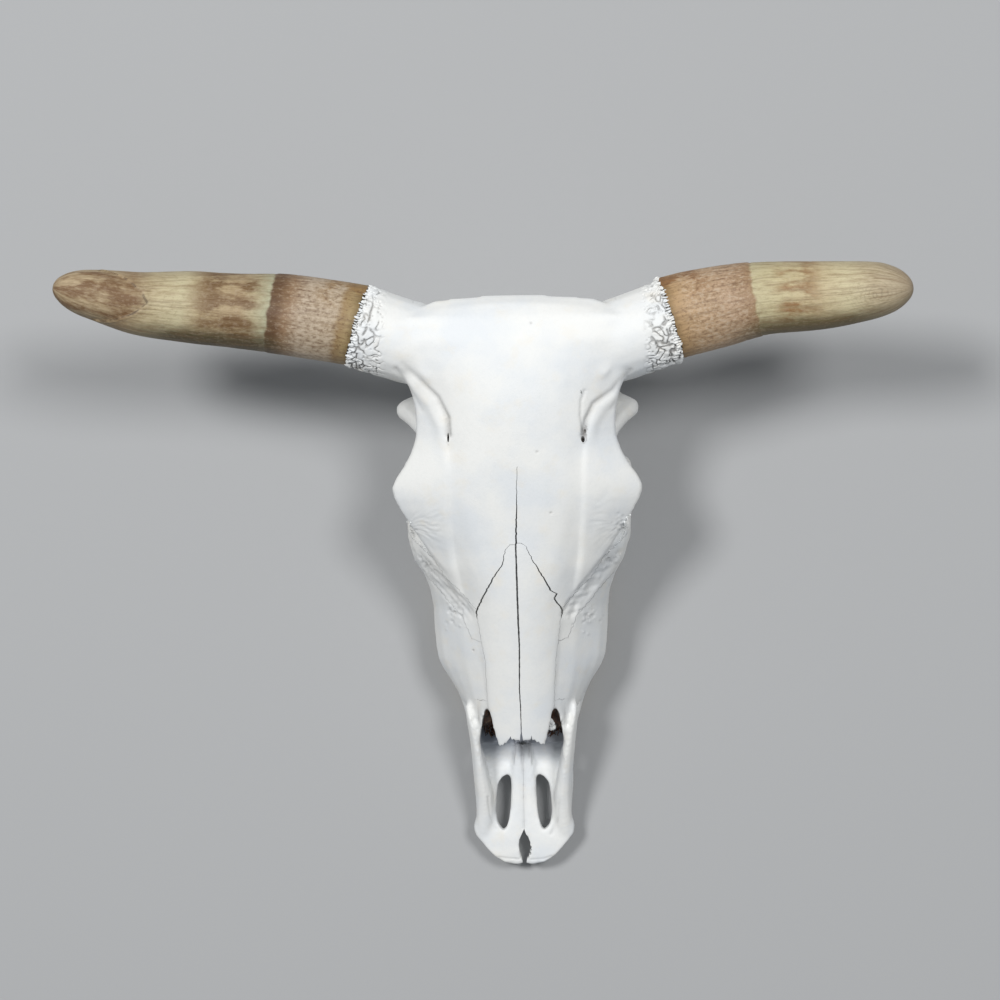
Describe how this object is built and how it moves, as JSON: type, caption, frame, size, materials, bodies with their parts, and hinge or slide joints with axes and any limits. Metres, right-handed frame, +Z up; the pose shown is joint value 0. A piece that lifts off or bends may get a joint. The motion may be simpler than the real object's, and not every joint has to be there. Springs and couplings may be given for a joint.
{
  "type": "bull skull",
  "caption": "Bleached skull of a domestic bull without its lower jaw, lying face up, with both horn sheaths on their bony cores.",
  "frame": {"origin": "on the floor, under the middle of the whole skull with its horns", "axes": "+Z up, out of the forehead; the nose points to -Y and the poll to +Y; +X is the animal's own left, along the horns"},
  "size_m": [0.6962, 0.517, 0.2401],
  "materials": {
    "bone": "bleached bone with a matt white coat",
    "horn": "weathered horn, satin, tan to cream with brown blotches"
  },
  "bodies": {
    "root": {"nasal_left": "bone", "nasal_right": "bone", "premaxilla_left": "bone", "premaxilla_right": "bone", "zygomatic_left": "bone", "zygomatic_right": "bone", "lacrimal_left": "bone", "lacrimal_right": "bone", "maxilla_left": "bone", "maxilla_right": "bone", "frontal_left": "bone", "frontal_right": "bone", "temporal_left": "bone", "temporal_right": "bone", "occipital": "bone", "sphenoid": "bone", "horn_sheath_left": "horn", "horn_sheath_right": "horn"}
  },
  "joints": []
}
